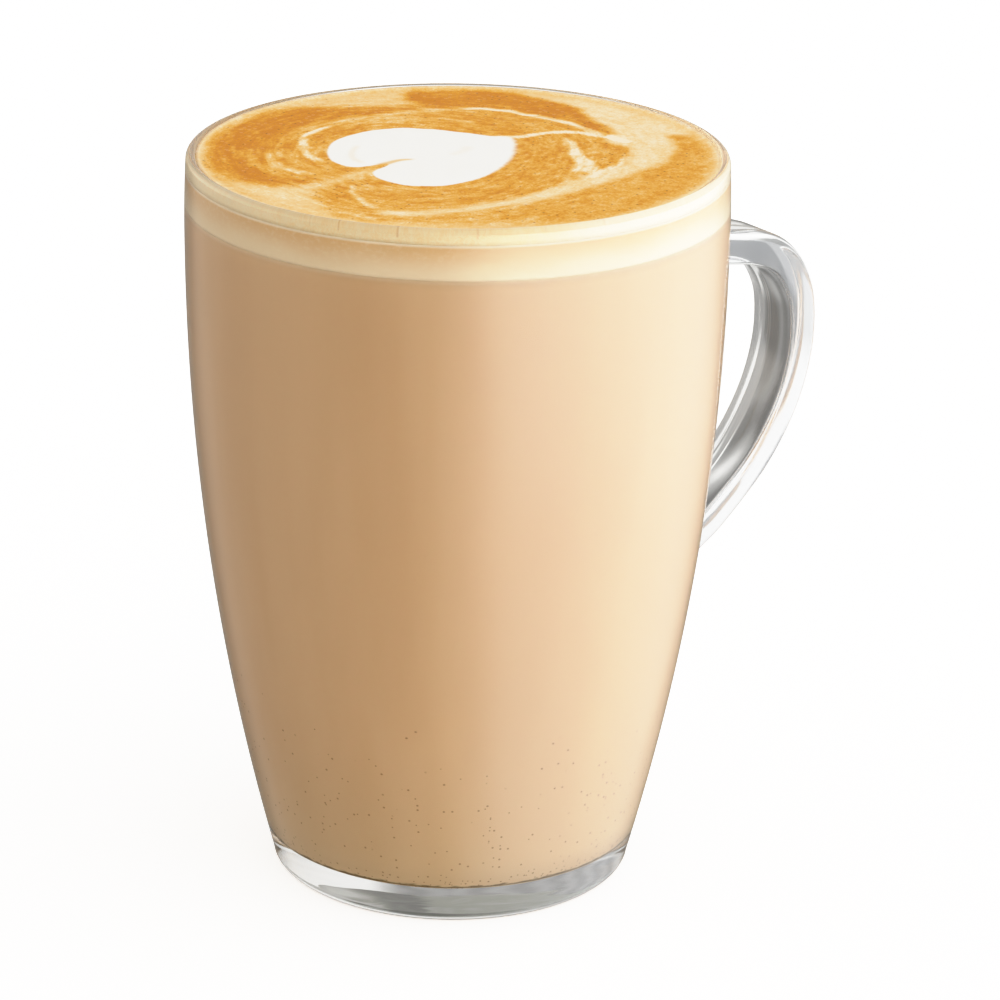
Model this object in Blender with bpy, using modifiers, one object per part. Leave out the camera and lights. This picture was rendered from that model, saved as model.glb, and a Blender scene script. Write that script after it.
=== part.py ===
# Latte in a clear glass mug: the mug with its strap handle, the milky coffee, a layer of
# milk foam, the crema on top of it, and a white foam heart set flush in the crema.
# Metres, +Z up. The handle points along +X. The underside lies on the origin's plane.

import math

import bpy

# Mug body
HEIGHT = 0.1212
BASE_RADIUS = 0.02936
BELLY_RADIUS = 0.04365
BELLY_HEIGHT = 0.1092
BELLY_POWER = 2.05
LIP_DRAW_IN = 0.00035
LIP_RADIUS = 0.0009
FOOT_ROUNDING = 0.0015
WALL_AT_LIP = 0.0018
WALL_AT_BASE = 0.0032
FLOOR_THICKNESS = 0.0053
INNER_CORNER = 0.0075
TURN_STEPS = 64

# Handle, as the route of the strap's centre in the XZ plane: (x, z, scale of the section)
HANDLE_ROUTE = (
    (0.0385, 0.0989, 1.20),
    (0.0436, 0.0989, 1.16),
    (0.0475, 0.0986, 1.02),
    (0.0528, 0.0979, 1.00),
    (0.0588, 0.0967, 1.00),
    (0.0634, 0.0944, 1.00),
    (0.0667, 0.0903, 1.00),
    (0.0685, 0.0848, 1.00),
    (0.0683, 0.0767, 1.00),
    (0.0655, 0.0678, 1.00),
    (0.0599, 0.0590, 1.00),
    (0.0516, 0.0510, 1.00),
    (0.0468, 0.0475, 1.03),
    (0.0425, 0.0449, 1.12),
    (0.0370, 0.0415, 1.20),
)
STRAP_WIDTH = 0.0107
STRAP_THICKNESS = 0.0059
STRAP_INNER_ROUNDING = 0.0012
STRAP_OUTER_ROUNDING = 0.0018

# Contents
GAP = 0.0003
TOP_OF_COFFEE = 0.1129
TOP_OF_FOAM = 0.1184
TOP_OF_CREMA = 0.1207
HEART_DEPTH = 0.0012

# Outline of the foam heart, seen from above with the photograph's camera at the bottom
HEART_TURN = -35.0
HEART_OUTLINE = (
    (-20.9, 1.4),
    (-20.0, 7.1),
    (-16.4, 12.1),
    (-11.4, 15.4),
    (-7.1, 15.9),
    (-2.1, 14.6),
    (2.1, 12.9),
    (5.0, 11.9),
    (8.0, 11.2),
    (9.1, 9.0),
    (9.0, 2.4),
    (7.9, -3.6),
    (5.7, -9.3),
    (2.9, -13.6),
    (-0.7, -16.8),
    (-5.0, -18.0),
    (-9.3, -16.8),
    (-12.5, -13.6),
    (-13.4, -10.7),
    (-12.6, -8.7),
    (-11.7, -7.2),
    (-12.2, -6.3),
    (-13.5, -6.6),
    (-15.9, -8.0),
    (-18.2, -6.8),
    (-20.2, -3.8),
)


def clear_scene():
    for item in list(bpy.data.objects):
        bpy.data.objects.remove(item, do_unlink=True)


def make_collection(name, hidden=False):
    found = bpy.data.collections.new(name)
    bpy.context.scene.collection.children.link(found)
    found.hide_render = hidden
    return found


def make_material(name, colour, roughness, transmission=0.0, ior=1.45):
    material = bpy.data.materials.new(name)
    material.use_nodes = True
    shader = material.node_tree.nodes["Principled BSDF"]
    shader.inputs["Base Color"].default_value = (*colour, 1.0)
    shader.inputs["Roughness"].default_value = roughness
    shader.inputs["Transmission Weight"].default_value = transmission
    shader.inputs["IOR"].default_value = ior
    return material


def smooth(mesh):
    for face in mesh.polygons:
        face.use_smooth = True


def add_mesh(name, points, edges, faces, collection):
    mesh = bpy.data.meshes.new(name)
    mesh.from_pydata(points, edges, faces)
    obj = bpy.data.objects.new(name, mesh)
    collection.objects.link(obj)
    return obj


# Turns a profile of (radius, height) points about Z. The profile runs down the outer side.
def turned(name, profile, collection):
    points = [(r, 0.0, z) for r, z in profile]
    edges = [(i, i + 1) for i in range(len(points) - 1)]
    obj = add_mesh(name, points, edges, [], collection)
    screw = obj.modifiers.new("turn", "SCREW")
    screw.axis = "Z"
    screw.angle = 2.0 * math.pi
    screw.steps = TURN_STEPS
    screw.render_steps = TURN_STEPS
    screw.use_merge_vertices = True
    screw.merge_threshold = 0.00001
    screw.use_smooth_shade = True
    return obj


def boolean(obj, operation, other):
    step = obj.modifiers.new(operation.lower() + " " + other.name, "BOOLEAN")
    step.operation = operation
    step.solver = "EXACT"
    step.object = other


def hide(obj):
    obj.hide_render = True
    obj.display_type = "WIRE"


def arc(centre, radius, start, end, steps):
    found = []
    for i in range(steps + 1):
        angle = math.radians(start + (end - start) * i / steps)
        found.append((centre[0] + radius * math.cos(angle), centre[1] + radius * math.sin(angle)))
    return found


def outer_radius(z):
    if z < BELLY_HEIGHT:
        share = (BELLY_HEIGHT - z) / BELLY_HEIGHT
        return BELLY_RADIUS - (BELLY_RADIUS - BASE_RADIUS) * share**BELLY_POWER
    share = (z - BELLY_HEIGHT) / (HEIGHT - BELLY_HEIGHT)
    return BELLY_RADIUS - LIP_DRAW_IN * share**2


def wall(z):
    share = max(HEIGHT - z, 0.0) / HEIGHT
    return WALL_AT_LIP + (WALL_AT_BASE - WALL_AT_LIP) * share**0.8


def inner_radius(z):
    return outer_radius(z) - wall(z)


def levels(low, high, count):
    return [low + (high - low) * i / (count - 1) for i in range(count)]


# The inside of the mug, from the axis up to a level, drawn in from the glass by a gap
def inside_profile(top, gap, count):
    floor = FLOOR_THICKNESS + gap
    corner_top = FLOOR_THICKNESS + INNER_CORNER
    reach = inner_radius(corner_top) - gap
    bend = INNER_CORNER - gap
    found = [(0.0, floor), (reach * 0.5, floor)]
    found += arc((reach - bend, floor + bend), bend, -90.0, -12.0, 7)
    found += [(inner_radius(z) - gap, z) for z in levels(corner_top, top, count)[1:]]
    return found


def body_profile():
    lip_z = HEIGHT - LIP_RADIUS
    lip_r = outer_radius(lip_z) - LIP_RADIUS
    inside = inside_profile(lip_z - 0.002, 0.0, 15)
    lip = arc((lip_r, lip_z), LIP_RADIUS, 180.0, 0.0, 8)
    outside = [(outer_radius(z), z) for z in reversed(levels(FOOT_ROUNDING + 0.001, lip_z - 0.002, 20))]
    foot_r = outer_radius(FOOT_ROUNDING) - FOOT_ROUNDING
    foot = arc((foot_r, FOOT_ROUNDING), FOOT_ROUNDING, 0.0, -90.0, 6)
    return inside + lip + outside + foot + [(foot_r * 0.5, 0.0), (0.0, 0.0)]


# The strap's section: width across the handle's plane, the flatter face turned inwards
def strap_section(collection):
    half_width = STRAP_WIDTH / 2.0
    half_depth = STRAP_THICKNESS / 2.0
    inner = STRAP_INNER_ROUNDING
    outer = STRAP_OUTER_ROUNDING
    points = []
    points += arc((half_depth - outer, half_width - outer), outer, 0.0, 90.0, 4)
    points += arc((-half_depth + inner, half_width - inner), inner, 90.0, 180.0, 3)
    points += arc((-half_depth + inner, -half_width + inner), inner, 180.0, 270.0, 3)
    points += arc((half_depth - outer, -half_width + outer), outer, 270.0, 360.0, 4)
    curve = bpy.data.curves.new("strap section", "CURVE")
    curve.dimensions = "2D"
    spline = curve.splines.new("POLY")
    spline.points.add(len(points) - 1)
    for point, (depth, width) in zip(spline.points, points):
        point.co = (width, depth, 0.0, 1.0)
    spline.use_cyclic_u = True
    obj = bpy.data.objects.new("strap section", curve)
    collection.objects.link(obj)
    hide(obj)
    return obj


def strap(collection):
    curve = bpy.data.curves.new("strap route", "CURVE")
    curve.dimensions = "3D"
    curve.twist_mode = "MINIMUM"
    curve.bevel_mode = "OBJECT"
    curve.bevel_object = strap_section(collection)
    curve.use_fill_caps = True
    curve.resolution_u = 3
    spline = curve.splines.new("BEZIER")
    spline.bezier_points.add(len(HANDLE_ROUTE) - 1)
    for point, (x, z, scale) in zip(spline.bezier_points, HANDLE_ROUTE):
        point.co = (x, 0.0, z)
        point.radius = scale
        point.handle_left_type = "AUTO"
        point.handle_right_type = "AUTO"
    route = bpy.data.objects.new("strap route", curve)
    collection.objects.link(route)
    hide(route)
    bpy.context.view_layer.update()
    graph = bpy.context.evaluated_depsgraph_get()
    mesh = bpy.data.meshes.new_from_object(route.evaluated_get(graph))
    obj = bpy.data.objects.new("strap", mesh)
    collection.objects.link(obj)
    weld = obj.modifiers.new("weld", "WELD")
    weld.merge_threshold = 0.000005
    hide(obj)
    return obj


# A solid that ends halfway through the glass wall, to trim the ends of the strap
def wall_middle(collection):
    steps = levels(-0.010, HEIGHT + 0.010, 30)
    side = [(outer_radius(max(z, 0.0)) - 0.55 * wall(max(z, 0.0)), z) for z in reversed(steps)]
    profile = [(0.0, steps[-1])] + side + [(0.0, steps[0])]
    obj = turned("wall middle", profile, collection)
    hide(obj)
    return obj


# A closed outline smoothed by a Catmull-Rom curve through its own points
def rounded_outline(points, between):
    found = []
    count = len(points)
    for i in range(count):
        a, b, c, d = (points[(i + k - 1) % count] for k in range(4))
        for j in range(between):
            t = j / between
            weights = (
                -0.5 * t + t**2 - 0.5 * t**3,
                1.0 - 2.5 * t**2 + 1.5 * t**3,
                0.5 * t + 2.0 * t**2 - 1.5 * t**3,
                -0.5 * t**2 + 0.5 * t**3,
            )
            found.append(tuple(sum(w * p[k] for w, p in zip(weights, (a, b, c, d))) for k in range(2)))
    return found


def heart_outline():
    turn = math.radians(HEART_TURN)
    found = []
    for x, y in rounded_outline(HEART_OUTLINE, 3):
        found.append(
            (
                0.001 * (x * math.cos(turn) - y * math.sin(turn)),
                0.001 * (x * math.sin(turn) + y * math.cos(turn)),
            )
        )
    return found


# The outline moved outwards by a distance. It runs clockwise seen from above.
def outset(outline, distance):
    found = []
    count = len(outline)
    for i, (x, y) in enumerate(outline):
        ax, ay = outline[i - 1]
        bx, by = outline[(i + 1) % count]
        length = math.hypot(bx - ax, by - ay)
        found.append((x - distance * (by - ay) / length, y + distance * (bx - ax) / length))
    return found


def prism(name, outline, low, high, collection):
    count = len(outline)
    points = [(x, y, low) for x, y in outline] + [(x, y, high) for x, y in outline]
    sides = [(i, i + count, (i + 1) % count + count, (i + 1) % count) for i in range(count)]
    top = tuple(reversed(range(count, 2 * count)))
    return add_mesh(name, points, [], sides + [tuple(range(count)), top], collection)


def layer_profile(low, high, count):
    side = [(inner_radius(z) - GAP, z) for z in reversed(levels(low, high, count))]
    return [(0.0, high)] + side + [(0.0, low)]


def main():
    clear_scene()
    latte = make_collection("latte")
    helpers = make_collection("helpers", hidden=True)

    # Mug
    mug = turned("glass_mug", body_profile(), latte)
    handle = strap(helpers)
    boolean(handle, "DIFFERENCE", wall_middle(helpers))
    boolean(mug, "UNION", handle)
    mug.data.materials.append(make_material("clear glass", (0.97, 0.98, 0.98), 0.02, 1.0, 1.5))

    # Coffee up to the foam
    inside = inside_profile(TOP_OF_COFFEE - GAP / 2.0, GAP, 14)
    coffee = turned("coffee", [(0.0, TOP_OF_COFFEE - GAP / 2.0)] + list(reversed(inside)), latte)
    coffee.data.materials.append(make_material("milky coffee", (0.70, 0.48, 0.27), 0.30))

    # Milk foam
    foam = turned("milk_foam", layer_profile(TOP_OF_COFFEE + GAP / 2.0, TOP_OF_FOAM - GAP / 2.0, 4), latte)
    foam.data.materials.append(make_material("milk foam", (0.84, 0.68, 0.48), 0.45))

    # Crema with a pocket for the heart
    crema = turned("crema", layer_profile(TOP_OF_FOAM + GAP / 2.0, TOP_OF_CREMA, 3), latte)
    outline = heart_outline()
    pocket = prism(
        "heart pocket",
        outset(outline, GAP),
        TOP_OF_CREMA - HEART_DEPTH - GAP,
        TOP_OF_CREMA + 0.002,
        helpers,
    )
    hide(pocket)
    boolean(crema, "DIFFERENCE", pocket)
    crema.data.materials.append(make_material("golden crema", (0.78, 0.44, 0.13), 0.40))

    # White foam heart
    heart = prism("foam_heart", outline, TOP_OF_CREMA - HEART_DEPTH, TOP_OF_CREMA, latte)
    heart.data.materials.append(make_material("white foam", (0.90, 0.88, 0.84), 0.50))

    for obj in (mug, coffee, foam, crema):
        smooth(obj.data)


main()
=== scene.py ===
import math

import bmesh
import bpy
import numpy as np
from mathutils import Matrix, Vector


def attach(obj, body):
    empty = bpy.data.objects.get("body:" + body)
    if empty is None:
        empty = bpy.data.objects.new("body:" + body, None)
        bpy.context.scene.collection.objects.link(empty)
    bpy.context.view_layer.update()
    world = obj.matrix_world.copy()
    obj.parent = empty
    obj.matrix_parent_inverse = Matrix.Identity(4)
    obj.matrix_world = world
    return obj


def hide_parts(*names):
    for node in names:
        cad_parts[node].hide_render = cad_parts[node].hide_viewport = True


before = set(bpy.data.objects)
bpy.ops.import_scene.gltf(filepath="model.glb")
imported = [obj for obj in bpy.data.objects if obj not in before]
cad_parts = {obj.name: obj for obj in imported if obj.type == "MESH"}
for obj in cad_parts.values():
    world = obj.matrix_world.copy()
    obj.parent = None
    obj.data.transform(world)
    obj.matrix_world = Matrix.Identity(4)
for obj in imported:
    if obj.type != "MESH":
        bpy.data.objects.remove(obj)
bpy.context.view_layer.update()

# Sizes of the mug and of what is in it, in millimetres, the same as the solids'
HEIGHT = 121.2
BASE_RADIUS = 29.36
BELLY_RADIUS = 43.63
BELLY_HEIGHT = 109.2
LIP_DRAW_IN = 0.35
LIP_RADIUS = 0.9
FOOT_ROUNDING = 1.5
WALL_AT_LIP = 1.8
WALL_AT_BASE = 3.2
FLOOR = 5.3
INNER_CORNER = 7.5
COFFEE_TOP = 112.9
FOAM_TOP = 118.4
CREMA_TOP = 120.7
INTO_GLASS = 0.15

# The picture was taken with the handle turned this far away from the right-hand side
HANDLE_TURN = math.radians(35.0)

HANDLE_ROUTE = [
    (38.5, 98.9), (43.6, 98.9), (47.5, 98.6), (52.8, 97.9), (58.8, 96.7), (63.4, 94.4),
    (66.7, 90.3), (68.5, 84.8), (68.3, 76.7), (65.5, 67.8), (59.9, 59.0), (51.6, 51.0),
    (46.8, 47.5), (42.5, 44.9), (37.0, 41.5),
]
STRAP_WIDTH = 10.7
STRAP_THICKNESS = 5.9
STRAP_INNER_ROUNDING = 0.6
STRAP_OUTER_ROUNDING = 1.8
ROOT_BLEND = 2.6

# How finely the turned pieces are divided, and where the mug's shading breaks, in degrees
SIDES = 192
CREMA_SIDES = 384
CREMA_RINGS = 92
SHARP_EDGE = 38.0
# Along the row's X, where the wall's glass ends and the handle's starts
HANDLE_START = (44.0, 50.0)
# Where the crema's surface meets the wall, as radii
CREMA_EDGE = (38.2, 41.2)
CREMA_RIM = (40.4, 41.4)
MENISCUS = (40.2, 41.7)

# The camera, fitted to the mug's outline: degrees, metres, and the lens in millimetres
CAMERA_SIDE = -35.0
CAMERA_RISE = 20.437
CAMERA_DISTANCE = 0.700
CAMERA_ROLL = 0.905
CAMERA_LENS = 153.8
MUG_MIDDLE = 0.06117
AIM_RIGHT = 0.00748
AIM_UP = 0.00102

# How often light may be thrown back or let through before it is lost
LIGHT_BOUNCES = 32

# The studio, with white as 1. Turns are in radians from the camera's side, towards the right,
# and heights are sines of the elevation. A pair is where something starts and where it is full.
WINDOW_EDGE = (-0.26, 0.60)
WINDOW_END = (1.4, 2.95)
WINDOW_LOW = 5.5
WINDOW_HIGH = 0.8
WINDOW_FOOT = (-0.95, -0.25)
WALLS_LOW = 0.29
WALLS_HIGH = 0.76
WALLS_AT_FLOOR = 0.12
WALLS_RISE = (-0.12, 0.06)
FILL_LOW = 0.62
FILL_HIGH = 1.65
FILL_EDGE = (0.8, 1.4)
FILL_END = (2.3, 2.7)
FILL_TOP = (0.25, 0.75)
WARM = (1.0, 0.965, 0.895, 1.0)
NEUTRAL = (1.0, 0.99, 0.975, 1.0)
COOL = (1.0, 1.03, 1.08, 1.0)
FILL_TINT = (1.0, 0.90, 0.76, 1.0)
NEUTRAL_RISE = (0.1, 0.6)
COOL_EDGE = (0.15, 1.3)
COOL_END = (2.2, 3.0)
BRIGHT_BACKGROUND = 2.0
# What shows through the clear glass
SEEN_LOW = 0.33
SEEN_LEFT = 0.34
SEEN_LEFT_EDGE = (0.5, 1.5)
SEEN_HIGH = 1.0
SEEN_RISE = (-0.25, 0.02)
SEEN_TABLE = 1.15
BACKDROP_EDGE = (2.42, 2.60)
BACKDROP_FOOT = (-0.54, -0.46)
BACKDROP_TOP = (-0.05, 0.05)
BACKDROP_DROP = 0.15
BACKDROP_DROP_LEFT = (2.2, 2.4)
BACKDROP_DROP_RIGHT = (3.06, 3.13)
BACKDROP_DEEP = 0.13
BACKDROP_PALE = 0.34
BACKDROP_UPPER = 0.27
BACKDROP_FOLDS = 0.10
BACKDROP_RHYTHM = (46.0, 19.0)
BACKDROP_PALE_TOP = (-0.37, -0.31)
BACKDROP_UPPER_FOOT = (-0.26, -0.14)
GLINT = 1.7
GLINT_SHARE = 0.75
GLINT_EDGE = (2.92, 2.98)
GLINT_END = (3.04, 3.09)
GLINT_TOP = (-0.40, -0.36)
SCREEN = 0.37
SCREEN_STREAKS = 0.05
SCREEN_RHYTHM = (37.0, 61.0)
SCREEN_EDGE_LEFT = (1.95, 2.15)
SCREEN_EDGE_RIGHT = (2.78, 2.95)
SCREEN_FOOT = (0.20, 0.33)
SCREEN_TOP = (0.45, 0.52)
STRAIGHT_DOWN = 0.32
STRAIGHT_DOWN_TOP = (-0.86, -0.72)
FLOOR_GLOW = 0.6
# How brightness is shown: (in the scene, on the screen). The brightest is shown as white.
SHOULDER = [(0.3, 0.3), (0.6, 0.6), (0.8, 0.785), (1.0, 0.90), (1.3, 0.975)]
BRIGHTEST = 2.0

# Colours as read on a screen, 0 to 255
COFFEE_TAN = ((218, 180, 136), (223, 187, 144))
COFFEE_LOW = (206, 177, 136)
# Painted light on the coffee's lower right, where the window's light falls
COFFEE_PAINTED_LIGHT = (222, 194, 160)
COFFEE_UNDER_FOAM = (238, 214, 178)
GROUNDS = (128, 80, 40)
BOTTOM_TURN_DARK_LINE = (96, 78, 48)
# Painted reflection and painted shade on the drink's underside, as seen through the foot
UNDERSIDE_PAINTED_WHITE = (255, 255, 252)
UNDERSIDE_PAINTED_GREY = (206, 206, 198)
UNDERSIDE_PAINTED_CLOUD = (228, 228, 226)
UNDERSIDE_PAINTED_SHADE_PATCH = (166, 165, 162)
UNDERSIDE_PAINTED_SHADE_FRONT = (150, 150, 144)
FOAM_LOW = (249, 229, 194)
FOAM_HIGH = (232, 190, 134)
FOAM_FINE = (252, 236, 204)
# Painted highlight along the top of the foam
FOAM_PAINTED_HIGHLIGHT = (252, 240, 216)
CREMA_GOLDS = [
    (0.0, (202, 126, 10)),
    (0.30, (220, 153, 34)),
    (0.55, (233, 176, 82)),
    (0.82, (242, 205, 150)),
    (1.0, (250, 229, 202)),
]
CREMA_PIT = (120, 72, 22)
CREMA_BUBBLE = (246, 214, 156)
HEART_WHITE = (246, 245, 240)
HEART_TRACE = (228, 178, 96)
HEART_SHADE = (238, 232, 218)
SIDE_BEIGE = ((254, 224, 168), (255, 238, 198))
SIDE_NICK = (214, 150, 70)
SIDE_UPPER = (244, 200, 130)
# Painted light on the crema's side by the window, and a painted highlight at its far left
SIDE_PAINTED_WINDOW_LIGHT = (255, 243, 224)
SIDE_PAINTED_LEFT_HIGHLIGHT = (255, 243, 212)


# ---- Shader recipes ----


class Wire:
    """A socket. Python's arithmetic on it adds Math nodes."""

    def __init__(self, finish, socket):
        self.finish = finish
        self.socket = socket

    def math(self, operation, *others, settings=None):
        values = dict(enumerate(others))
        return self.finish.node("Math", {"operation": operation, **(settings or {})}, values)

    def __add__(self, other):
        return self.math("ADD", self, other)

    __radd__ = __add__

    def __mul__(self, other):
        return self.math("MULTIPLY", self, other)

    __rmul__ = __mul__

    def __sub__(self, other):
        return self.math("SUBTRACT", self, other)

    def __rsub__(self, other):
        return self.math("SUBTRACT", other, self)

    def __truediv__(self, other):
        return self.math("DIVIDE", self, other)

    def __pow__(self, other):
        return self.math("POWER", self, other)

    def __neg__(self):
        return self.math("MULTIPLY", self, -1.0)

    def clamped(self):
        return self.math("ADD", self, 0.0, settings={"use_clamp": True})

    def at_most(self, other):
        return self.math("MINIMUM", self, other)

    def absolute(self):
        return self.math("ABSOLUTE", self)

    def sine(self):
        return self.math("SINE", self)

    def rise(self, low, high):
        """0 below low, 1 above high, with a smooth turn between them."""
        values = {"Value": self, "From Min": low, "From Max": high, "To Min": 0.0, "To Max": 1.0}
        return self.finish.node("MapRange", {"interpolation_type": "SMOOTHSTEP"}, values)


class Finish:
    """The nodes of a material or of the studio, and the one way in which they are added."""

    def __init__(self, owner):
        if isinstance(owner, str):
            owner = bpy.data.materials.new(owner)
        owner.use_nodes = True
        self.owner = owner
        self.tree = owner.node_tree
        self.tree.nodes.clear()

    def node(self, kind, settings=None, values=None, output=0):
        made = self.tree.nodes.new("ShaderNode" + kind)
        for key, value in (settings or {}).items():
            if key == "stops":
                ramp = made.color_ramp
                while len(ramp.elements) < len(value):
                    ramp.elements.new(1.0)
                for element, (place, colour) in zip(ramp.elements, value):
                    element.position = place
                    element.color = colour
            else:
                setattr(made, key, value)
        for key, value in (values or {}).items():
            if isinstance(value, Wire):
                self.tree.links.new(value.socket, made.inputs[key])
            else:
                made.inputs[key].default_value = value
        return Wire(self, made.outputs[output])

    def place(self):
        """The point on the surface, in millimetres of the row frame."""
        point = self.node("TexCoord", output="Object")
        return self.node("VectorMath", {"operation": "SCALE"}, {0: point, "Scale": 1000.0})

    def along(self, point, output):
        return self.node("SeparateXYZ", None, {0: point}, output)

    def stretch(self, point, x, y, z):
        return self.node("VectorMath", {"operation": "MULTIPLY"}, {0: point, 1: (x, y, z)})

    def noise(self, point, scale, detail, roughness):
        values = {"Vector": point, "Scale": scale, "Detail": detail, "Roughness": roughness}
        return self.node("TexNoise", None, values)

    def cells(self, point, scale):
        """The distance to the middle of a flat cell, and the cell's own lot, 0 to 1."""
        values = {"Vector": point, "Scale": scale}
        distance = self.node("TexVoronoi", {"voronoi_dimensions": "2D"}, values)
        lot = self.node("SeparateColor", None, {0: self.also(distance, "Color")}, 0)
        return distance, lot

    def also(self, wire, output):
        """Another output of a node that is there already."""
        return Wire(self, wire.socket.node.outputs[output])

    def kept(self, name):
        """A number stored at the mesh's points."""
        return self.node("Attribute", {"attribute_name": name}, None, "Fac")

    def mix(self, share, first, second):
        return self.node("Mix", {"data_type": "RGBA"}, {0: share, 6: first, 7: second}, 2)

    def ramp(self, value, stops):
        return self.node("ValToRGB", {"stops": stops}, {0: value})

    def bump(self, height, distance):
        return self.node("Bump", None, {"Height": height, "Distance": distance})

    def shader(self, **values):
        named = {key.replace("_", " "): value for key, value in values.items()}
        return self.node("BsdfPrincipled", None, named)

    def done(self, **values):
        self.close("OutputMaterial", self.shader(**values))
        return self.owner

    def close(self, kind, shader):
        output = self.tree.nodes.new("ShaderNode" + kind)
        self.tree.links.new(shader.socket, output.inputs["Surface"])


def paint(colour):
    """A colour as read on a screen, 0 to 255, turned into linear light."""
    found = []
    for value in colour:
        share = value / 255.0
        found.append(share / 12.92 if share <= 0.04045 else ((share + 0.055) / 1.055) ** 2.4)
    return (*found, 1.0)


# ---- Shapes ----


def outer_radius(z):
    z = np.asarray(z, dtype=float)
    share = np.clip(BELLY_HEIGHT - z, 0.0, None) / BELLY_HEIGHT
    above = np.clip(z - BELLY_HEIGHT, 0.0, None) / (HEIGHT - BELLY_HEIGHT)
    return BELLY_RADIUS - (BELLY_RADIUS - BASE_RADIUS) * share**2.05 - LIP_DRAW_IN * above**2


def wall(z):
    share = np.clip(HEIGHT - np.asarray(z, dtype=float), 0.0, None) / HEIGHT
    return WALL_AT_LIP + (WALL_AT_BASE - WALL_AT_LIP) * share**0.8


def inner_radius(z):
    return outer_radius(z) - wall(z)


def arc(centre, radius, start, end, steps):
    angles = np.radians(np.linspace(start, end, steps + 1))
    return [(centre[0] + radius * math.cos(a), centre[1] + radius * math.sin(a)) for a in angles]


def inside_profile(top, reach_out, count):
    """The inside of the mug from the axis up, moved outwards by a distance."""
    corner_top = FLOOR + INNER_CORNER
    bend = INNER_CORNER + reach_out
    reach = float(inner_radius(corner_top)) + reach_out
    floor = FLOOR - reach_out
    found = [(0.0, floor), (reach * 0.25, floor), (reach * 0.5, floor)]
    found += arc((reach - bend, floor + bend), bend, -90.0, -12.0, 24)
    for z in np.linspace(corner_top, top, count)[1:]:
        found.append((float(inner_radius(z)) + reach_out, float(z)))
    return found


def catmull_rom(points, between, closed=False):
    points = [np.array(p, dtype=float) for p in points]
    if closed:
        rows = [points[-1], *points, points[0], points[1]]
    else:
        rows = [2 * points[0] - points[1], *points, 2 * points[-1] - points[-2]]
    found = []
    for a, b, c, d in zip(rows, rows[1:], rows[2:], rows[3:]):
        for t in np.linspace(0.0, 1.0, between, endpoint=False):
            bend = t * t * (a - 2.5 * b + 2.0 * c - 0.5 * d)
            found.append(b + 0.5 * t * (c - a) + bend + 0.5 * t**3 * (3.0 * (b - c) + d - a))
    if not closed:
        found.append(points[-1])
    return np.array(found)


def add_mesh(name, points, faces):
    """A smooth mesh from points in millimetres."""
    mesh = bpy.data.meshes.new(name)
    mesh.from_pydata([tuple(0.001 * v for v in p) for p in points], [], faces)
    mesh.polygons.foreach_set("use_smooth", [True] * len(mesh.polygons))
    obj = bpy.data.objects.new(name, mesh)
    bpy.context.scene.collection.objects.link(obj)
    return obj


def lathe(name, profile, steps):
    """Turns a profile that starts and ends on the axis. It runs down the outer side."""
    ring = [p for p in profile if p[0] > 1e-6]
    angles = np.linspace(0.0, 2.0 * math.pi, steps, endpoint=False)
    points = [(r * math.cos(a), r * math.sin(a), z) for r, z in ring for a in angles]
    faces = []
    for row in range(len(ring) - 1):
        for i in range(steps):
            j = (i + 1) % steps
            upper, lower = row * steps, (row + 1) * steps
            faces.append((upper + i, lower + i, lower + j, upper + j))
    points += [(0.0, 0.0, profile[0][1]), (0.0, 0.0, profile[-1][1])]
    first, last = len(points) - 2, len(points) - 1
    bottom = (len(ring) - 1) * steps
    for i in range(steps):
        j = (i + 1) % steps
        faces.append((first, i, j))
        faces.append((last, bottom + j, bottom + i))
    return add_mesh(name, points, faces)


def boolean(obj, operation, other):
    step = obj.modifiers.new(operation.lower(), "BOOLEAN")
    step.operation = operation
    step.solver = "EXACT"
    step.object = other
    bpy.context.view_layer.update()
    graph = bpy.context.evaluated_depsgraph_get()
    made = bpy.data.meshes.new_from_object(obj.evaluated_get(graph))
    obj.modifiers.clear()
    obj.data = made
    bpy.data.objects.remove(other, do_unlink=True)


# ---- The glass mug ----


def mug_profile():
    lip_z = HEIGHT - LIP_RADIUS
    lip_r = float(outer_radius(lip_z)) - LIP_RADIUS
    found = inside_profile(lip_z - 0.4, 0.0, 60)
    found += arc((lip_r, lip_z), LIP_RADIUS, 180.0, 0.0, 24)
    heights = np.linspace(lip_z - 0.4, FOOT_ROUNDING + 0.3, 90)
    found += [(float(outer_radius(z)), float(z)) for z in heights]
    foot_r = float(outer_radius(FOOT_ROUNDING)) - FOOT_ROUNDING
    found += arc((foot_r, FOOT_ROUNDING), FOOT_ROUNDING, 0.0, -90.0, 12)
    return found + [(foot_r * 0.6, 0.0), (foot_r * 0.3, 0.0), (0.0, 0.0)]


def strap_section():
    """The strap's outline as (towards the outside, across): its inner face is the flatter one."""
    half_depth, half_width = STRAP_THICKNESS / 2.0, STRAP_WIDTH / 2.0
    inner, outer = STRAP_INNER_ROUNDING, STRAP_OUTER_ROUNDING
    found = arc((half_depth - outer, half_width - outer), outer, 0.0, 90.0, 8)
    found += arc((-half_depth + inner, half_width - inner), inner, 90.0, 180.0, 6)
    found += arc((-half_depth + inner, -half_width + inner), inner, 180.0, 270.0, 6)
    found += arc((half_depth - outer, -half_width + outer), outer, 270.0, 360.0, 8)
    return found


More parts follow.
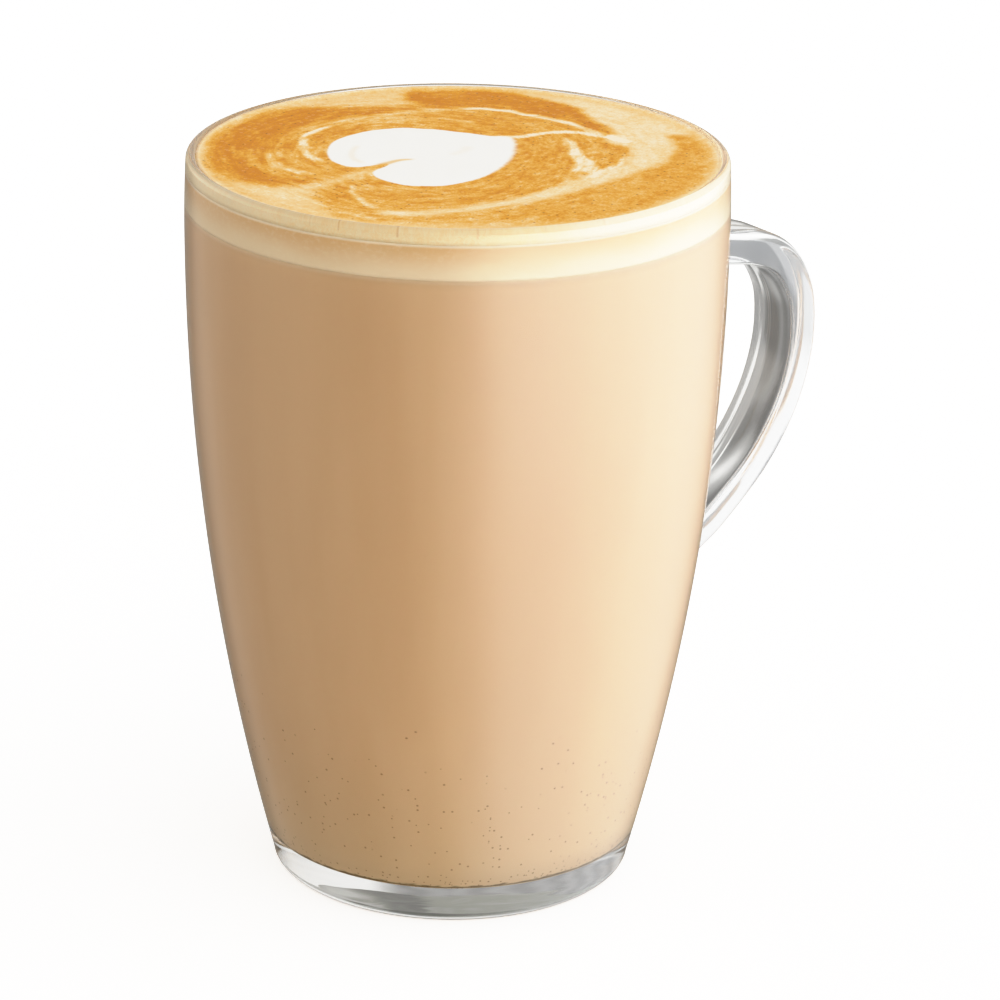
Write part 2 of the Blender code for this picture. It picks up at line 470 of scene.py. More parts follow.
def strap():
    """The handle, swept along its route, with its ends flared so that they blend into the wall."""
    route = catmull_rom(HANDLE_ROUTE, 9)
    along = np.gradient(route, axis=0)
    along /= np.linalg.norm(along, axis=1)[:, None]
    section = strap_section()
    count = len(section)
    points = []
    for (r, z), (dr, dz) in zip(route, along):
        for depth, across in section:
            point = np.array([r - dz * depth, across, z + dr * depth])
            clear = math.hypot(point[0], point[1]) - float(outer_radius(point[2]))
            part = min(max(ROOT_BLEND - clear, 0.0), ROOT_BLEND)
            flare = ROOT_BLEND - math.sqrt(ROOT_BLEND**2 - part**2)
            flare = min(flare, 0.8 * ROOT_BLEND)
            grow = 1.0 + flare / math.hypot(depth, across)
            points.append((r - dz * depth * grow, across * grow, z + dr * depth * grow))
    faces = []
    for ring in range(len(route) - 1):
        for i in range(count):
            j = (i + 1) % count
            a, b = ring * count, (ring + 1) * count
            faces.append((a + i, a + j, b + j, b + i))
    faces.append(tuple(reversed(range(count))))
    faces.append(tuple(range((len(route) - 1) * count, len(route) * count)))
    return add_mesh("strap", points, faces)


def wall_middle():
    """A plug out to the middle of the wall, which cuts off what the strap has inside it."""
    heights = np.linspace(HEIGHT + 10.0, -10.0, 60)
    side = []
    for z in heights:
        level = max(float(z), 0.0)
        side.append((float(outer_radius(level) - 0.55 * wall(level)), float(z)))
    return lathe("wall middle", [(0.0, heights[0]), *side, (0.0, heights[-1])], SIDES)


def glass_mug():
    mug = lathe("mug_glass", mug_profile(), SIDES)
    handle = strap()
    boolean(handle, "DIFFERENCE", wall_middle())
    boolean(mug, "UNION", handle)
    mug.data.polygons.foreach_set("use_smooth", [True] * len(mug.data.polygons))
    mug.data.set_sharp_from_angle(angle=math.radians(SHARP_EDGE))
    return mug


# ---- The poured pattern ----

# Drawn as seen from above with the camera at the bottom, in millimetres

HEART = [
    (-20.9, 1.4), (-20.0, 7.1), (-16.4, 12.1), (-11.4, 15.4), (-7.1, 15.9), (-2.1, 14.6),
    (2.1, 12.9), (5.0, 11.9), (8.0, 11.2), (9.1, 9.0), (9.0, 2.4), (7.9, -3.6), (5.7, -9.3),
    (2.9, -13.6), (-0.7, -16.8), (-5.0, -18.0), (-9.3, -16.8), (-12.5, -13.6), (-13.4, -10.7),
    (-12.6, -8.7), (-11.2, -6.6), (-11.4, -5.4), (-13.2, -6.5), (-15.9, -8.0), (-18.2, -6.8),
    (-20.2, -3.8),
]

# Pools of colour: (tone, softness, outline). Tone 0 is the deepest gold and 1 the palest cream.
POOLS = [
    (0.72, 3.0, [(-37, 24), (-31, 31), (-22, 38), (-12, 42), (-7, 42), (-7, 31), (-12, 29),
                 (-20, 28), (-29, 27)]),
    (0.06, 3.0, [(-41, 8), (-41, 15), (-35, 22), (-27, 26), (-18, 26.5), (-8, 29), (-8, 27.5),
                 (-16, 24), (-22, 20), (-26, 14), (-28.5, 8), (-31.5, 0), (-31.5, -7),
                 (-28, -12.5), (-21, -15), (-20.5, -18), (-26, -19.5), (-33, -18), (-38, -11),
                 (-41, -2)]),
    (0.05, 1.6, [(-7.5, 43), (-7.5, 30.5), (0, 29.8), (8, 28.5), (14, 24.5), (20, 17.5),
                 (24.2, 12.5), (25.2, 14), (23, 21), (19.5, 29), (13, 35.5), (9, 38.5), (6, 43)]),
    (0.78, 2.4, [(-41, -10), (-37, -15), (-31, -28), (-24, -36), (-18, -38), (-20, -31),
                 (-22, -24), (-20.5, -19.5), (-16.5, -14.5), (-12.6, -9.8), (-13.6, -8.6),
                 (-18, -12), (-22, -16.5), (-28, -18.6), (-33, -17)]),
    (0.40, 2.4, [(36, 11), (40, 8), (41, 0), (38, -12), (33, -20), (26, -27), (18, -32),
                 (8, -35.5), (-2, -36.5), (-2, -34.5), (4, -32), (11, -28), (17, -22.7),
                 (23, -15.7), (29.5, -8), (34, -1), (35.5, 6)]),
    (0.86, 1.3, [(10, 38.8), (14, 35), (19.3, 29.3), (22.9, 20.7), (25.2, 14.3), (23.4, 9.5),
                 (27.1, 5.5), (27.1, -0.7), (24.8, -5.5), (21.5, -9), (19, -12), (14, -18),
                 (9, -23.4), (3, -27.6), (-2, -30), (-6, -31.4), (-10.5, -31), (-12, -33),
                 (-7, -34.8), (-2, -33), (4, -30.5), (10, -27), (16, -22.5), (22, -15.5),
                 (28.5, -8.5), (33.5, -1), (35, 6), (34.5, 13), (38.5, 14), (36.5, 20), (31.5, 27),
                 (25.5, 33), (18.5, 37.8), (13, 40)]),
]

# Poured lines: (strength, half width at the start, half width at the end, softness, points)
LINES = [
    (1.00, 0.55, 0.75, 0.5, [(6.4, 11.4), (9.4, 11.4), (12.1, 12.8), (15.7, 14.2), (20.7, 13.9),
                             (24.6, 11.9), (27, 9.5)]),
    (0.95, 0.80, 0.45, 0.5, [(25.2, 11.8), (20.7, 16.4), (16.4, 21.4), (12.1, 25), (7.9, 27.3),
                             (3.6, 28.3), (-0.7, 28.2)]),
    (0.42, 0.50, 0.80, 1.3, [(-0.7, 28.2), (-5, 26.8), (-12.9, 22.9), (-17.9, 20), (-22.9, 17.1),
                             (-26, 13.2)]),
    (0.75, 0.35, 0.65, 0.6, [(-20.5, 17.4), (-22.9, 13.6), (-25, 9.3), (-24.6, 3.6), (-23.6, -1.4),
                             (-21.8, -5)]),
    (0.60, 0.30, 0.80, 0.9, [(-30.2, -1.0), (-29.8, -4.6), (-27.6, -8.2), (-23.5, -11.5)]),
    (0.35, 0.20, 0.40, 0.8, [(-28.5, 9.0), (-29.0, 3.5), (-28.2, -1.5)]),
    (0.70, 0.10, 0.50, 0.7, [(-16.4, -17.2), (-16.3, -21), (-15.7, -23.6), (-14.8, -26.3),
                             (-12.6, -29.6)]),
    (0.90, 0.15, 1.90, 0.8, [(17.4, 10.9), (18.3, 5), (19.3, -0.7), (20.0, -5), (19.8, -9.6)]),
    (0.30, 0.30, 0.50, 1.0, [(-19.5, 15.8), (-15.5, 18.8), (-10, 20.6), (-3, 20.9), (3, 20.0)]),
    (0.25, 0.30, 0.40, 1.0, [(-23.6, 14.5), (-19, 18.8), (-13, 21.4), (-6, 23.4)]),
    (0.55, 0.30, 0.60, 0.8, [(26.8, 0.0), (25.2, -3.6), (23.0, -7.0), (21.0, -9.5)]),
    (0.50, 0.30, 0.50, 0.7, [(-17.6, -32.8), (-15.2, -33.7), (-12.6, -35.4)]),
    (0.35, 0.30, 0.60, 1.0, [(-30.5, -8.0), (-27.0, -13.4), (-21.5, -14.0)]),
    (0.30, 0.20, 0.50, 0.9, [(-33.0, 2.0), (-32.4, -5.0), (-29.8, -10.5)]),
]

# Faint golden traces inside the heart
TRACES = [
    (0.80, 0.60, 0.08, 0.7, [(-12.6, -6.6), (-11.2, -5.2), (-10.0, -4.3), (-8.6, -3.5),
                             (-7.2, -3.0)]),
    (0.20, 0.20, 0.30, 0.7, [(-16.2, 4.2), (-16.9, 0.5), (-16.6, -3.4), (-15.0, -6.0)]),
    (0.10, 0.30, 0.50, 1.2, [(-0.6, 0.2), (0.8, 1.8), (1.4, 3.6)]),
]


def across_picture(x, y):
    """From the row frame to the drawing's own axes: how far right a point lies."""
    return x * math.cos(HANDLE_TURN) - y * math.sin(HANDLE_TURN)


def into_picture(x, y):
    """How far back a point lies."""
    return x * math.sin(HANDLE_TURN) + y * math.cos(HANDLE_TURN)


def distance_to_line(x, y, line, closed=False):
    """The distance from each point to a line, and how far along it the nearest point is."""
    best = np.full(x.shape, 1e9)
    share = np.zeros(x.shape)
    ends = np.vstack([line[1:], line[:1]]) if closed else line[1:]
    starts = line if closed else line[:-1]
    for k, (a, b) in enumerate(zip(starts, ends)):
        run = b - a
        t = ((x - a[0]) * run[0] + (y - a[1]) * run[1]) / max(run @ run, 1e-12)
        t = np.clip(t, 0.0, 1.0)
        d = np.hypot(x - a[0] - t * run[0], y - a[1] - t * run[1])
        nearer = d < best
        best = np.where(nearer, d, best)
        share = np.where(nearer, (k + t) / len(starts), share)
    return best, share


def depth_inside(x, y, outline):
    """The distance to an outline, positive inside it."""
    line = catmull_rom(outline, 5, closed=True)
    distance, _ = distance_to_line(x, y, line, closed=True)
    inside = np.zeros(x.shape, dtype=bool)
    for a, b in zip(line, np.vstack([line[1:], line[:1]])):
        crosses = (a[1] > y) != (b[1] > y)
        if a[1] != b[1]:
            inside ^= crosses & (x < (b[0] - a[0]) * (y - a[1]) / (b[1] - a[1]) + a[0])
    return np.where(inside, distance, -distance)


def step(value, low, high):
    t = np.clip((value - low) / (high - low), 0.0, 1.0)
    return t * t * (3.0 - 2.0 * t)


def drawn(x, y, lines):
    found = np.zeros(x.shape)
    for strength, start, end, soft, points in lines:
        distance, share = distance_to_line(x, y, catmull_rom(points, 6))
        half = start + (end - start) * share
        ends = step(share, -0.02, 0.10) * step(-share, -1.01, -0.90) if len(points) > 3 else 1.0
        body = 1.0 - step(distance, half - 0.3 * soft, half + soft)
        found = np.maximum(found, strength * body * (0.35 + 0.65 * ends))
    return found


def pour(obj):
    """Stores the pattern at the mesh's points: the heart's depth, the lines and the tone."""
    mesh = obj.data
    places = np.empty(len(mesh.vertices) * 3)
    mesh.vertices.foreach_get("co", places)
    places = places.reshape(-1, 3) * 1000.0
    x = across_picture(places[:, 0], places[:, 1])
    y = into_picture(places[:, 0], places[:, 1])
    radius = np.hypot(x, y)
    # The pattern's edges waver a little, as poured foam does
    wave_x = 0.22 * np.sin(0.55 * y + 0.8) + 0.10 * np.sin(1.5 * y + 0.6 * x)
    wave_y = 0.22 * np.sin(0.50 * x + 2.1) + 0.10 * np.sin(1.3 * x - 0.7 * y)
    tone = np.full(x.shape, 0.36)
    for value, soft, outline in POOLS:
        share = step(depth_inside(x + wave_x, y + wave_y, outline), -soft, soft)
        tone += (value - tone) * share
    edge = step(radius, *CREMA_EDGE)
    tone += (0.72 - tone) * 0.85 * edge
    front = step(-y, 33.5, 39.5)
    tone += (0.78 - tone) * 0.7 * front
    tone += (0.92 - tone) * 0.8 * step(radius, *CREMA_RIM)
    # The heart's right side fades into the crema
    depth = depth_inside(x, y, HEART)
    fade = 1.0 - 0.6 * step(x, 2.0, 8.5) * step(depth, -4.5, -0.5)
    fields = {
        "heart_depth": depth * fade,
        "lines": drawn(x + wave_x, y + wave_y, LINES),
        "traces": drawn(x, y, TRACES),
        "tone": tone,
    }
    for name, values in fields.items():
        stored = mesh.attributes.new(name, "FLOAT", "POINT")
        stored.data.foreach_set("value", values.astype(np.float32))
    return fields


def crema_surface_height(x, y, radius):
    swell = 0.05 * np.sin(0.31 * x + 0.9) * np.sin(0.27 * y + 0.4)
    swell = swell + 0.03 * np.sin(0.9 * x - 0.7 * y)
    # The drink climbs the wall more at the back than at the front
    climb = 0.10 + 0.26 * step(into_picture(x, y), -20.0, 20.0)
    meniscus = climb * step(radius, *MENISCUS)
    return CREMA_TOP - 0.06 + swell * step(-radius, -41.0, -36.0) + meniscus


def crema():
    """The crema's disc: a fine polar grid on top, its side against the glass, and its underside."""
    rings, steps = CREMA_RINGS, CREMA_SIDES
    edge = float(inner_radius(CREMA_TOP)) + INTO_GLASS
    edge_low = float(inner_radius(FOAM_TOP)) + INTO_GLASS
    angles = np.linspace(0.0, 2.0 * math.pi, steps, endpoint=False)
    radii = edge * (np.arange(1, rings + 1) / rings)
    x = np.outer(radii, np.cos(angles))
    y = np.outer(radii, np.sin(angles))
    z = crema_surface_height(x, y, np.hypot(x, y))
    points = [(0.0, 0.0, float(crema_surface_height(0.0, 0.0, 0.0)))]
    points += list(zip(x.ravel().tolist(), y.ravel().tolist(), z.ravel().tolist()))
    faces = [(0, 1 + i, 1 + (i + 1) % steps) for i in range(steps)]
    for ring in range(rings - 1):
        a, b = 1 + ring * steps, 1 + (ring + 1) * steps
        faces += [(a + i, b + i, b + (i + 1) % steps, a + (i + 1) % steps) for i in range(steps)]
    last = 1 + (rings - 1) * steps
    for level in (0.66, 0.33, 0.0):
        height = FOAM_TOP + level * (CREMA_TOP - FOAM_TOP)
        r = edge_low + level * (edge - edge_low)
        start = len(points)
        points += [(r * math.cos(a), r * math.sin(a), height) for a in angles]
        for i in range(steps):
            j = (i + 1) % steps
            faces.append((last + i, start + i, start + j, last + j))
        last = start
    points.append((0.0, 0.0, FOAM_TOP))
    faces += [(len(points) - 1, last + (i + 1) % steps, last + i) for i in range(steps)]
    obj = add_mesh("crema_layer", points, faces)
    return obj, pour(obj)


def foam_heart(surface, fields):
    """The white heart: the part of the surface under it, barely raised, and closed below."""
    mesh = surface.data.copy()
    obj = bpy.data.objects.new("poured_heart", mesh)
    bpy.context.scene.collection.objects.link(obj)
    depth = fields["heart_depth"]
    work = bmesh.new()
    work.from_mesh(mesh)
    work.verts.ensure_lookup_table()
    low = 0.001 * (CREMA_TOP - 0.6)
    outside = [v for v in work.verts if depth[v.index] < -0.75 or v.co.z < low]
    lift = 0.02 + 0.16 * step(depth, -0.1, 3.0) - 0.14 * step(-depth, 0.15, 0.75)
    for v in work.verts:
        v.co.z += 0.001 * float(lift[v.index])
    bmesh.ops.delete(work, geom=outside, context="VERTS")
    grown = bmesh.ops.extrude_face_region(work, geom=list(work.faces))
    for v in (item for item in grown["geom"] if isinstance(item, bmesh.types.BMVert)):
        v.co.z -= 0.0011
    bmesh.ops.recalc_face_normals(work, faces=list(work.faces))
    work.to_mesh(mesh)
    work.free()
    return obj


def milk_foam():
    heights = np.linspace(FOAM_TOP, COFFEE_TOP, 14)
    side = [(float(inner_radius(z)) + INTO_GLASS, float(z)) for z in heights]
    inner = [(side[0][0] * share, FOAM_TOP) for share in (0.33, 0.66)]
    under = [(side[-1][0] * share, COFFEE_TOP) for share in (0.66, 0.33)]
    return lathe("foam_layer", [(0.0, FOAM_TOP), *inner, *side, *under, (0.0, COFFEE_TOP)], SIDES)


def coffee():
    inside = inside_profile(COFFEE_TOP, INTO_GLASS, 60)
    top = [(inside[-1][0] * share, COFFEE_TOP) for share in (0.33, 0.66)]
    return lathe("coffee_body", [(0.0, COFFEE_TOP), *top, *reversed(inside)], SIDES)


# ---- Finishes ----


def clear_glass():
    glass = Finish("clear pressed glass")
    point = glass.place()
    ripple = glass.noise(glass.stretch(point, 0.09, 0.12, 0.035), 1.0, 0.0, 0.5)
    out = glass.along(point, "X").rise(*HANDLE_START)
    return glass.done(
        Base_Color=(0.975, 0.985, 0.982, 1.0),
        Roughness=out * 0.07,
        Transmission_Weight=1.0,
        IOR=1.5,
        Normal=glass.bump(ripple * (0.6 + out * 2.4), 0.00025),
    )


def milky_coffee():
    brew = Finish("milky coffee through glass")
    point = brew.place()
    height = brew.along(point, "Z")
    streak = brew.noise(brew.stretch(point, 0.12, 0.12, 0.006), 1.0, 2.0, 0.5)
    cloud = brew.noise(brew.stretch(point, 0.05, 0.05, 0.03), 1.0, 1.0, 0.5)
    streaky = (streak * 0.75 + cloud * 0.25).rise(0.30, 0.72)
    tan = brew.mix(streaky, paint(COFFEE_TAN[0]), paint(COFFEE_TAN[1]))
    tan = brew.mix((1.0 - height.rise(6.0, 36.0)) * 0.5, tan, paint(COFFEE_LOW))
    # Painted light: the lower right, just past the turn of the light, is painted paler
    x, y = brew.along(point, "X"), brew.along(point, "Y")
    aside = across_picture(x, y)
    paler = aside.rise(-2.0, 10.0) * (1.0 - aside.rise(12.0, 26.0) * 0.6)
    paler = paler * (1.0 - height.rise(16.0, 75.0))
    tan = brew.mix(paler * 0.7, tan, paint(COFFEE_PAINTED_LIGHT))
    # Fine grounds show as specks in the lower third, and most of all round the bottom
    around = x.math("ARCTAN2", y, x) * BASE_RADIUS
    low = 1.0 - height.rise(12.0, 46.0)
    bottom = 1.0 - height.rise(6.6, 9.0)
    for size, share, moved in ((0.80, 0.11, 47.0), (1.1, 0.07, 93.0)):
        sheet = brew.node("CombineXYZ", None, {0: around, 1: height + moved})
        grain, lot = brew.cells(sheet, size)
        chosen = (lot + low * share + bottom * 0.35).rise(1.0, 1.02)
        speck = (1.0 - grain.rise(0.07, 0.07 + lot * 0.13)) * chosen
        tan = brew.mix(speck * 0.65, tan, paint(GROUNDS))
    # A thin dark line lies where the bottom turns
    ragged = brew.noise(point, 0.6, 1.0, 0.7)
    line = height.rise(5.5, 5.7) * (1.0 - (height + ragged * 1.2).rise(6.5, 7.0))
    tan = brew.mix(line * 0.8, tan, paint(BOTTOM_TURN_DARK_LINE))
    near_foam = height.rise(COFFEE_TOP - 0.9, COFFEE_TOP - 0.05)
    tan = brew.mix(near_foam * 0.6, tan, paint(COFFEE_UNDER_FOAM))
    # Underneath, painted reflection and painted shade: the thick foot shows clouded grey and not
    # the drink, with one dark painted shade patch and a darker painted shade at the front
    cloudy = brew.noise(brew.stretch(point, 0.20, 0.42, 1.0), 1.0, 2.0, 0.7) - 0.5
    across = aside + cloudy * 3.0
    deep = into_picture(x, y) + cloudy * 6.0
    shade_patch = across.rise(-5.9, -4.5) * (1.0 - across.rise(-2.6, -1.2))
    grey = brew.mix(across.rise(-6.7, -4.9), paint(UNDERSIDE_PAINTED_WHITE), paint(UNDERSIDE_PAINTED_GREY))
    grey = brew.mix((cloudy * 4.0 + 0.1).clamped() * 0.8, grey, paint(UNDERSIDE_PAINTED_CLOUD))
    grey = brew.mix(shade_patch * (0.85 - cloudy * 1.5), grey, paint(UNDERSIDE_PAINTED_SHADE_PATCH))
    grey = brew.mix(1.0 - deep.rise(4.0, 8.0), grey, paint(UNDERSIDE_PAINTED_SHADE_FRONT))
    tan = brew.mix(1.0 - height.rise(5.25, 5.6), tan, grey)
    return brew.done(Base_Color=tan, Roughness=0.6, Specular_IOR_Level=0.0)


def foam_side():
    foam = Finish("milk foam through glass")
    point = foam.place()
    height = foam.along(point, "Z")
    wander = foam.noise(foam.stretch(point, 0.07, 0.07, 0.2), 1.0, 2.0, 0.5) * 2.4 - 1.2
    fine = foam.noise(foam.stretch(point, 1.2, 1.2, 1.8), 1.0, 2.0, 0.6)
    blend = (height + wander).rise(COFFEE_TOP + 0.2, FOAM_TOP + 0.2)
    cream = foam.mix(blend, paint(FOAM_LOW), paint(FOAM_HIGH))
    cream = foam.mix(fine.rise(0.45, 0.75) * 0.2, cream, paint(FOAM_FINE))
    # Painted highlight: a bright line along the top of the foam
    line = height.rise(FOAM_TOP - 0.55, FOAM_TOP - 0.1)
    cream = foam.mix(line * 0.75, cream, paint(FOAM_PAINTED_HIGHLIGHT))
    return foam.done(Base_Color=cream, Roughness=0.6, Specular_IOR_Level=0.0)


def poured_surface(name):
    """The drink's surface: golden crema, cream lines and the white heart, in one recipe."""
    top = Finish(name)
    point = top.place()
    height = top.along(point, "Z")
    depth, lines = top.kept("heart_depth"), top.kept("lines")
    traces, tone = top.kept("traces"), top.kept("tone")
    # Streaks run round the heart: noise on the distance from it and on the direction
    x, y = top.along(point, "X"), top.along(point, "Y")
    away = (x * x + y * y) ** 0.5 + 0.001
    turn_x, turn_y = x / away * 5.0, y / away * 5.0
    round_about = top.node("CombineXYZ", None, {0: depth * 0.85, 1: turn_x, 2: turn_y})
    streak = top.noise(round_about, 1.0, 2.0, 0.6)
    cloud = top.noise(point, 0.16, 2.0, 0.6)
    mottle = top.noise(point, 0.8, 3.0, 0.65)
    grain = top.noise(point, 2.8, 1.0, 0.7)
    calm = 1.0 - lines * 0.5 - tone.rise(0.45, 0.8) * 0.6
    waver = (streak - 0.5) * 1.15 + (cloud - 0.5) * 0.45
    waver = waver + (mottle - 0.5) * 0.95 + (grain - 0.5) * 0.8
    waver = waver - (streak - 0.5) * 0.9 * (-depth).rise(14.0, 26.0)
    shade = tone + waver * calm + lines * (0.38 + streak * 0.5)
    gold = top.ramp(shade.clamped(), [(place, paint(colour)) for place, colour in CREMA_GOLDS])
    # Tiny open bubbles and a few dark pits
    bubble, lot = top.cells(point, 0.95)
    pit = (1.0 - bubble.rise(0.10, 0.24)) * lot.rise(0.90, 0.93) * (1.0 - shade.rise(0.55, 0.85))
    gold = top.mix(pit * 0.7, gold, paint(CREMA_PIT))
    ring = (1.0 - bubble.rise(0.18, 0.34)) * bubble.rise(0.05, 0.16) * (1.0 - lot.rise(0.12, 0.16))
    gold = top.mix(ring * 0.25, gold, paint(CREMA_BUBBLE))
    edge = depth + (mottle - 0.5) * 0.3
    white = edge.rise(-0.22, 0.30)
    milk = top.mix(traces, paint(HEART_WHITE), paint(HEART_TRACE))
    milk = top.mix((cloud - 0.3).clamped() * 0.12, milk, paint(HEART_SHADE))
    skin = top.mix(white, gold, milk)
    # The side of the layer, behind the glass: beige, with small bubbles and faint streaks
    froth = mottle * 0.5 + grain * 0.5
    side = top.mix(froth.rise(0.30, 0.70), paint(SIDE_BEIGE[0]), paint(SIDE_BEIGE[1]))
    nick = (1.0 - bubble.rise(0.10, 0.22)) * lot.rise(0.66, 0.74)
    nick = nick * height.rise(CREMA_TOP - 1.5, CREMA_TOP - 1.1)
    side = top.mix(nick * 0.4, side, paint(SIDE_NICK))
    upper = height.rise(CREMA_TOP - 1.1, CREMA_TOP - 0.3)
    side = top.mix(upper * 0.25, side, paint(SIDE_UPPER))
    behind = 1.0 - height.rise(CREMA_TOP - 0.34, CREMA_TOP - 0.22)
    across = across_picture(x, y)
    # Painted light: the side is painted whiter towards the window
    side = top.mix(across.rise(8.0, 24.0) * 0.6, side, paint(SIDE_PAINTED_WINDOW_LIGHT))
    # Painted highlight: a whitish band at the far left of the side
    side = top.mix((1.0 - across.rise(-36.0, -20.0)) * 0.5, side, paint(SIDE_PAINTED_LEFT_HIGHLIGHT))
    skin = top.mix(behind, skin, side)
    rough = 0.42 + (grain - 0.5) * 0.3
    relief = (grain * 0.35 + mottle * 0.5) * (1.0 - white * 0.88)
    return top.done(
        Base_Color=skin,
        Roughness=rough,
        Specular_IOR_Level=0.05,
        Normal=top.bump(relief, 0.00012),
    )


def pale_floor():
    floor = Finish("pale floor")
    point = floor.place()
    cast = floor.noise(point, 0.01, 2.0, 0.5)
    white = floor.mix(cast, (0.86, 0.86, 0.86, 1.0), (0.88, 0.88, 0.88, 1.0))
    return floor.done(
        Base_Color=white,
        Roughness=0.7,
        Specular_IOR_Level=0.2,
        Emission_Color=(1.0, 1.0, 1.0, 1.0),
        Emission_Strength=FLOOR_GLOW,
    )


# ---- Setting ----


def view_direction(azimuth, elevation):
    """The unit vector from the object towards the camera, in degrees, 0 looking along +Y."""
    a, e = math.radians(azimuth), math.radians(elevation)
    return Vector((math.sin(a) * math.cos(e), -math.cos(a) * math.cos(e), math.sin(e)))


def put_camera():
    camera = bpy.data.objects.new("camera", bpy.data.cameras.new("camera"))
    bpy.context.scene.collection.objects.link(camera)
    middle = Vector((0.0, 0.0, MUG_MIDDLE))
    back = view_direction(CAMERA_SIDE, CAMERA_RISE)
    camera.location = middle + CAMERA_DISTANCE * back
    right = Vector((0.0, 0.0, 1.0)).cross(back).normalized()
    up = back.cross(right)
    aim = middle + AIM_RIGHT * right + AIM_UP * up
    look = (aim - camera.location).normalized()
    side = look.cross(Vector((0.0, 0.0, 1.0))).normalized()
    turn = Matrix((side, side.cross(look), -look)).transposed()
    roll = Matrix.Rotation(math.radians(CAMERA_ROLL), 3, "Z")
    camera.rotation_euler = (turn @ roll).to_euler()
    camera.data.sensor_width = 36.0
    camera.data.lens = CAMERA_LENS
    camera.data.clip_start = 0.01
    bpy.context.scene.camera = camera


def toward(first, second, share):
    """The first level, moved towards the second by a share."""
    return first + (second - first) * share


def waves(around, upwards, rhythm):
    """Slanted waves, from -1 to 1."""
    return (around * rhythm[0] + upwards * rhythm[1]).sine()


def studio_level(turn, upwards):
    """How bright the studio is: a broad soft window on the right, a fill on the left, and walls."""
    leftwards = -turn
    window = turn.rise(*WINDOW_EDGE) * (1.0 - turn.rise(*WINDOW_END))
    fill = leftwards.rise(*FILL_EDGE) * (1.0 - leftwards.rise(*FILL_END))
    foot = upwards.rise(*WINDOW_FOOT)
    low = (WALLS_LOW + fill * FILL_LOW) * (WALLS_AT_FLOOR + foot * (1.0 - WALLS_AT_FLOOR))
    low = low + window * foot * WINDOW_LOW
    high = WALLS_HIGH + window * WINDOW_HIGH + fill * FILL_HIGH * (1.0 - upwards.rise(*FILL_TOP))
    return toward(high, low, 1.0 - upwards.rise(*WALLS_RISE)), fill


def backdrop_grey(around, upwards):
    """A folded grey cloth, paler near its foot and its top."""
    fold = waves(around, upwards, BACKDROP_RHYTHM) * 0.5 + 0.5
    pale = (BACKDROP_PALE - BACKDROP_DEEP) * (1.0 - upwards.rise(*BACKDROP_PALE_TOP))
    upper = (BACKDROP_UPPER - BACKDROP_DEEP) * upwards.rise(*BACKDROP_UPPER_FOOT)
    return BACKDROP_DEEP + fold * fold * BACKDROP_FOLDS + pale + upper * (0.5 + fold)


def seen_level(turn, upwards):
    """What the eye meets through the clear glass: a calmer room with a grey backdrop behind."""
    leftwards = -turn
    around = turn.absolute()
    low = SEEN_LOW + leftwards.rise(*SEEN_LEFT_EDGE) * SEEN_LEFT
    seen = toward(low, SEEN_HIGH, upwards.rise(*SEEN_RISE))
    behind = around.rise(*BACKDROP_EDGE)
    dropped = leftwards.rise(*BACKDROP_DROP_LEFT) + turn.rise(*BACKDROP_DROP_RIGHT)
    hung = (upwards + dropped * BACKDROP_DROP).rise(*BACKDROP_FOOT)
    seen = toward(seen, SEEN_TABLE, behind * (1.0 - hung))
    grey = backdrop_grey(around, upwards)
    seen = toward(seen, grey, behind * hung * (1.0 - upwards.rise(*BACKDROP_TOP)))
    glint = turn.rise(*GLINT_EDGE) * (1.0 - turn.rise(*GLINT_END))
    seen = toward(seen, GLINT, glint * (1.0 - upwards.rise(*GLINT_TOP)) * GLINT_SHARE)
    screen = leftwards.rise(*SCREEN_EDGE_LEFT) + turn.rise(*SCREEN_EDGE_RIGHT)
    screen = screen * upwards.rise(*SCREEN_FOOT) * (1.0 - upwards.rise(*SCREEN_TOP))
    streaks = waves(around, upwards, SCREEN_RHYTHM)
    seen = toward(seen, SCREEN + streaks * SCREEN_STREAKS, screen)
    return toward(seen, STRAIGHT_DOWN, 1.0 - upwards.rise(*STRAIGHT_DOWN_TOP))


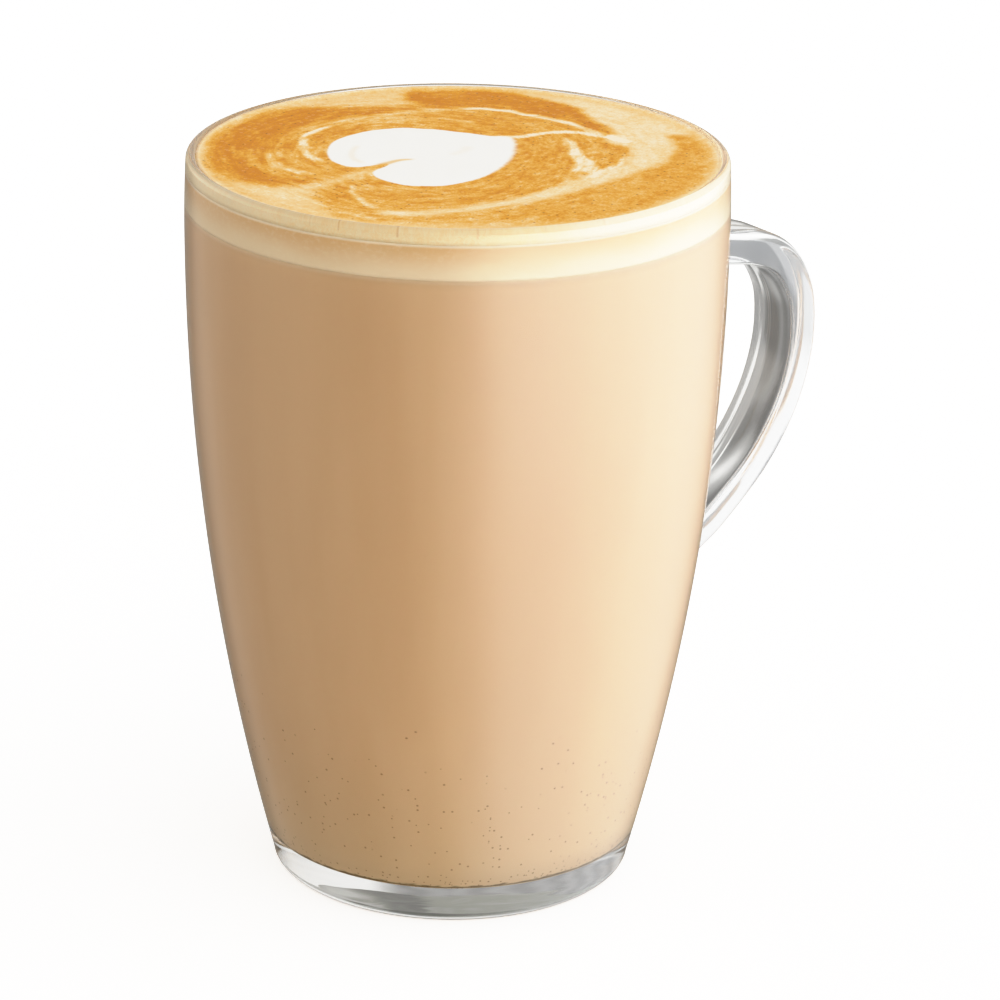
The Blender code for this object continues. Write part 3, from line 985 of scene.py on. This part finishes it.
def put_surroundings():
    """The studio's light, set by direction as counted from the camera's side, with no lamps."""
    world = bpy.data.worlds.new("studio")
    bpy.context.scene.world = world
    studio = Finish(world)
    ray = studio.node("TexCoord", output="Generated")
    front = view_direction(CAMERA_SIDE, 0.0)
    right = Vector((0.0, 0.0, 1.0)).cross(front)
    along = {"operation": "DOT_PRODUCT"}
    to_right = studio.node("VectorMath", along, {0: ray, 1: tuple(right)}, 1)
    to_front = studio.node("VectorMath", along, {0: ray, 1: tuple(front)}, 1)
    upwards = studio.along(ray, "Z")
    turn = to_right.math("ARCTAN2", to_right, to_front)
    level, fill = studio_level(turn, upwards)
    # Light that has met the drink comes from the studio, and clear sight meets the calmer room
    through = studio.node("LightPath", output="Is Transmission Ray")
    scattered = studio.node("LightPath", output="Diffuse Depth").at_most(1.0)
    sight = through * (1.0 - scattered)
    level = toward(level, seen_level(turn, upwards), sight)
    level = toward(level, BRIGHT_BACKGROUND, studio.node("LightPath", output="Is Camera Ray"))
    tint = studio.mix(upwards.rise(*NEUTRAL_RISE), WARM, NEUTRAL)
    tint = studio.mix(fill * 0.8, tint, FILL_TINT)
    cool = turn.rise(*COOL_EDGE) * (1.0 - turn.rise(*COOL_END))
    tint = studio.mix(cool * (1.0 - sight), tint, COOL)
    tint = studio.mix(sight, tint, NEUTRAL)
    light = studio.node("Background", None, {"Color": tint, "Strength": level})
    studio.close("OutputWorld", light)


def put_floor():
    work = bmesh.new()
    bmesh.ops.create_grid(work, x_segments=8, y_segments=8, size=4.0)
    mesh = bpy.data.meshes.new("floor")
    work.to_mesh(mesh)
    work.free()
    floor = bpy.data.objects.new("floor", mesh)
    bpy.context.scene.collection.objects.link(floor)
    floor.data.materials.append(pale_floor())
    # The glass and the drink see the studio and not the floor, as they would on a glass table
    floor.visible_diffuse = False
    floor.visible_glossy = False
    floor.visible_transmission = False
    floor.visible_shadow = False


def follow_light_through_glass():
    """Light is thrown back many times inside the handle before it leaves."""
    paths = bpy.context.scene.cycles
    paths.max_bounces = LIGHT_BOUNCES
    paths.transmission_bounces = LIGHT_BOUNCES
    paths.glossy_bounces = LIGHT_BOUNCES


def soften_highlights():
    """A film-like shoulder: middle tones stay as they are, and brightness near white rolls off."""
    view = bpy.context.scene.view_settings
    view.view_transform = "Standard"
    view.use_curve_mapping = True
    curve = view.curve_mapping
    curve.white_level = (BRIGHTEST, BRIGHTEST, BRIGHTEST)
    points = curve.curves[3].points
    points[0].location = (0.0, 0.0)
    points[1].location = (1.0, 1.0)
    for seen, shown in SHOULDER:
        points.new(seen / BRIGHTEST, shown)
    curve.update()


def place(obj, material, node, slot):
    obj.data.materials.clear()
    obj.data.materials.append(material)
    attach(obj, "root")
    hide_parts(node)


def main():
    follow_light_through_glass()
    soften_highlights()
    put_camera()
    put_surroundings()
    put_floor()

    place(glass_mug(), clear_glass(), "glass_mug", "clear_glass")
    place(coffee(), milky_coffee(), "coffee", "milky_coffee")
    place(milk_foam(), foam_side(), "milk_foam", "milk_foam")
    surface, fields = crema()
    heart = foam_heart(surface, fields)
    place(heart, poured_surface("white foam heart"), "foam_heart", "white_foam")
    place(surface, poured_surface("golden crema"), "crema", "golden_crema")


main()
